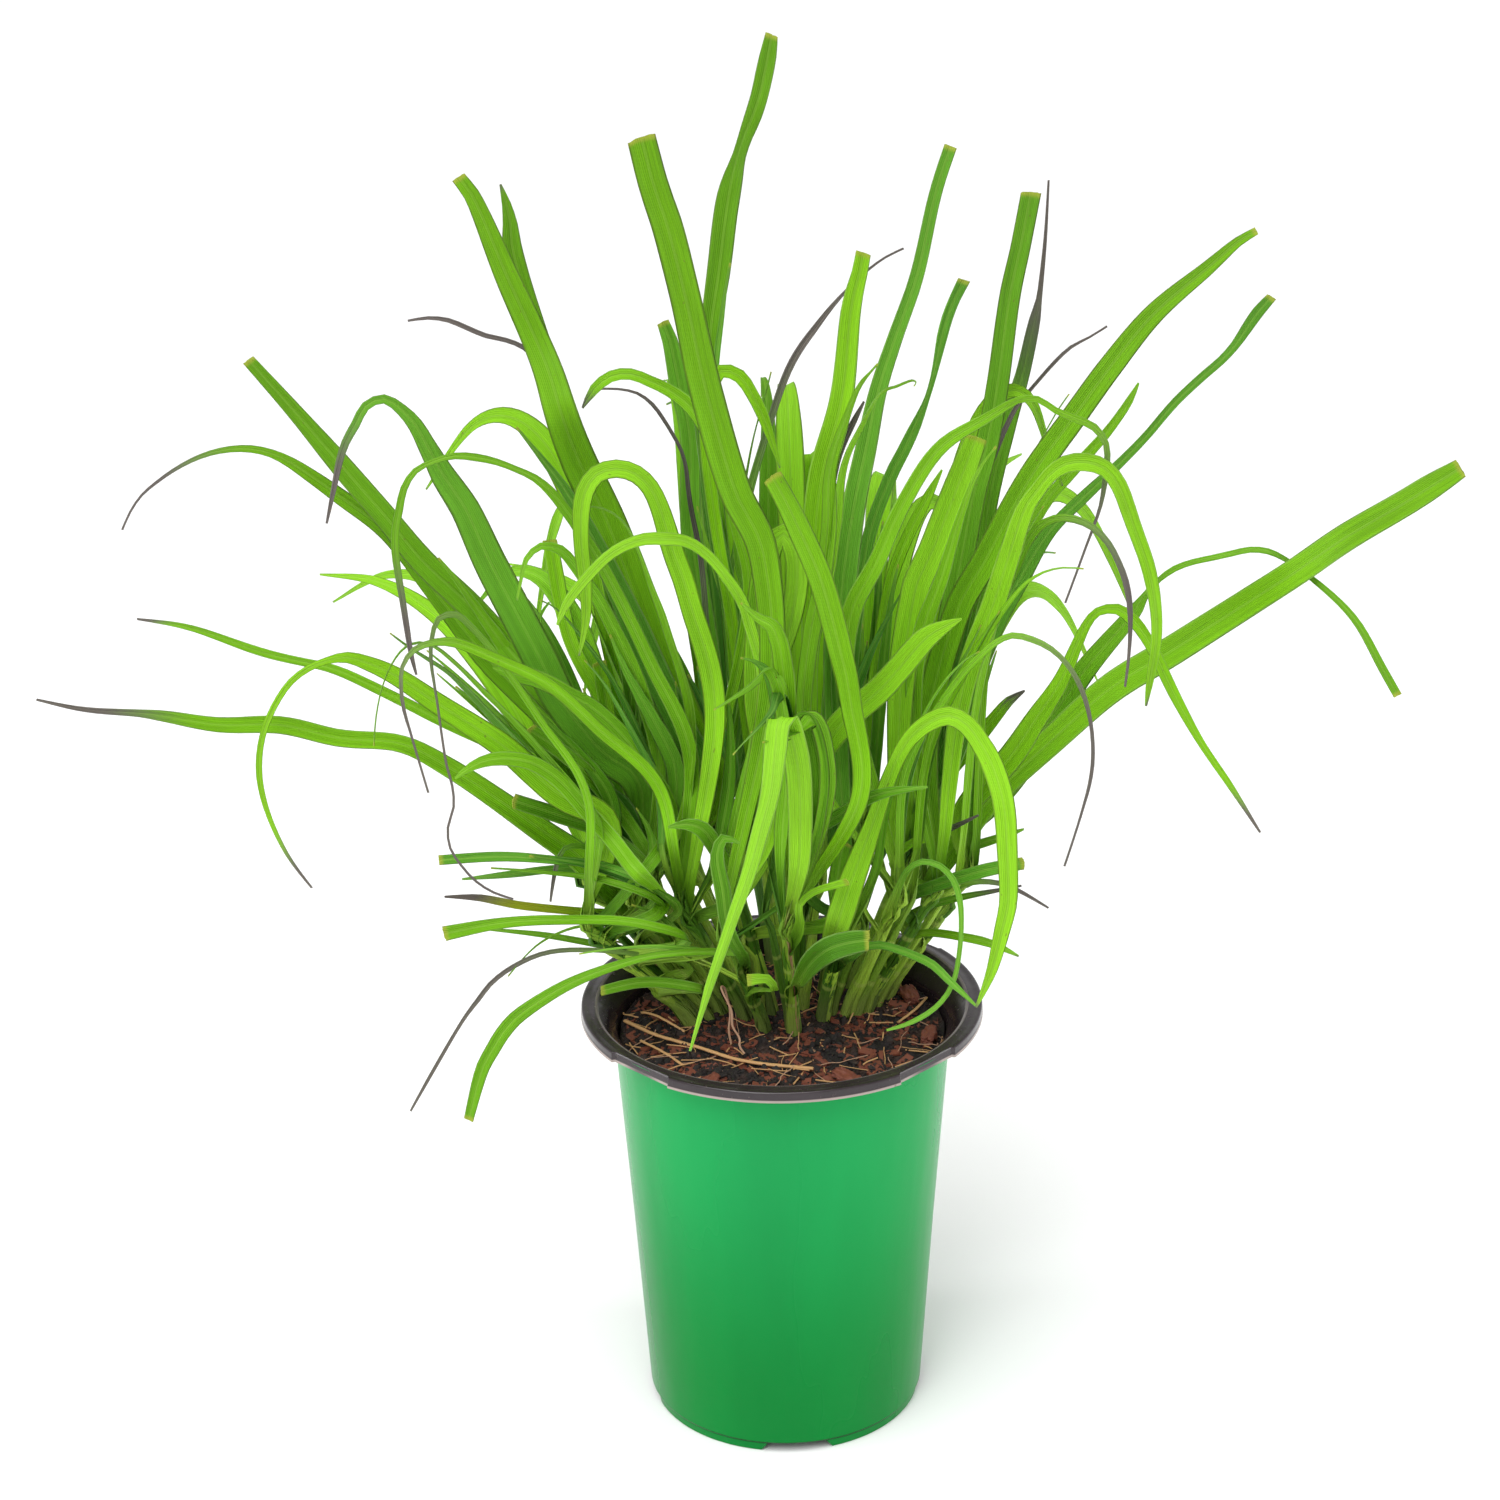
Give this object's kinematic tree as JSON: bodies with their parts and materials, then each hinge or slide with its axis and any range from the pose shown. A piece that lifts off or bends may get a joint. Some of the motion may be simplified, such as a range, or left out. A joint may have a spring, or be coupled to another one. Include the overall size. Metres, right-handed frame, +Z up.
{
  "type": "potted lemongrass",
  "caption": "Clump of lemongrass in a tapered round nursery pot with a flat rim, arching strap leaves, some cut square, over dark potting mix with straw litter.",
  "frame": {"origin": "on the pot's axis, on the plane it stands on, under the middle of the plant's box", "axes": "+Z up, -Y towards the front, +X to the right seen from the front"},
  "size_m": [0.5572, 0.3006, 0.5635],
  "materials": {
    "pot_green": "thin semi-gloss thermoformed sheet, green outside and dark grey-brown on the rim and inside",
    "potting_mix": "damp dark peat and bark",
    "leaf": "satin green blades with a pale midrib",
    "straw": "dry tan straw",
    "root": "dull pinkish root",
    "bark": "rough reddish bark"
  },
  "bodies": {
    "root": {"bark_chip_1": "bark", "bark_chip_2": "bark", "bark_chip_3": "bark", "bark_chip_4": "bark", "pot": "pot_green", "potting_mix": "potting_mix", "root_loop": "root", "stem_01": "leaf", "stem_02": "leaf", "stem_03": "leaf", "stem_04": "leaf", "stem_05": "leaf", "stem_06": "leaf", "stem_07": "leaf", "stem_08": "leaf", "stem_09": "leaf", "stem_10": "leaf", "stem_11": "leaf", "stem_12": "leaf", "stem_13": "leaf", "stem_14": "leaf", "stem_15": "leaf", "stem_16": "leaf", "stem_17": "leaf", "stem_18": "leaf", "stem_19": "leaf", "stem_20": "leaf", "stem_21": "leaf", "stem_22": "leaf", "stem_23": "leaf", "stem_24": "leaf", "stem_25": "leaf", "straw_long": "straw", "straw_short_1": "straw", "straw_short_2": "straw", "straw_short_3": "straw"}
  },
  "joints": []
}
